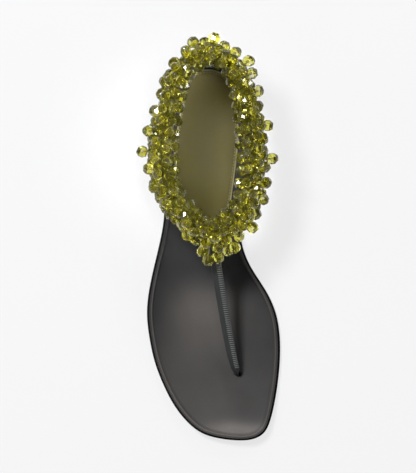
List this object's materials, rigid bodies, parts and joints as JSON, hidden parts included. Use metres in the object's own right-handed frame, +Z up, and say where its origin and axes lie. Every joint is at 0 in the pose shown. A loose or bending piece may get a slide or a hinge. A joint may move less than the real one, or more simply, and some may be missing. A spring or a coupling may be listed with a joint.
{
  "type": "beaded flat sandal",
  "caption": "Flat thong sandal for the right foot: dished black footbed, slim toe strap and an ankle band wrapped in a rope of faceted green beads.",
  "frame": {"origin": "on the floor, under the middle of the sandal's box", "axes": "+Z up from the floor, -Y towards the toe, +X towards the medial (big toe) side"},
  "size_m": [0.093, 0.264, 0.0824],
  "materials": {
    "sole_rubber": "moulded, satin edge",
    "footbed_leather": "smooth nappa, soft satin",
    "sock_leather": "smooth nappa, soft satin",
    "strap_leather": "smooth, folded and edge-stitched",
    "bead_acrylic": "polished, faceted, see-through"
  },
  "bodies": {
    "root": {"outsole": "sole_rubber", "footbed": "footbed_leather", "heel_sock": "sock_leather", "upper": "strap_leather", "bead_collar": "bead_acrylic"}
  },
  "joints": []
}
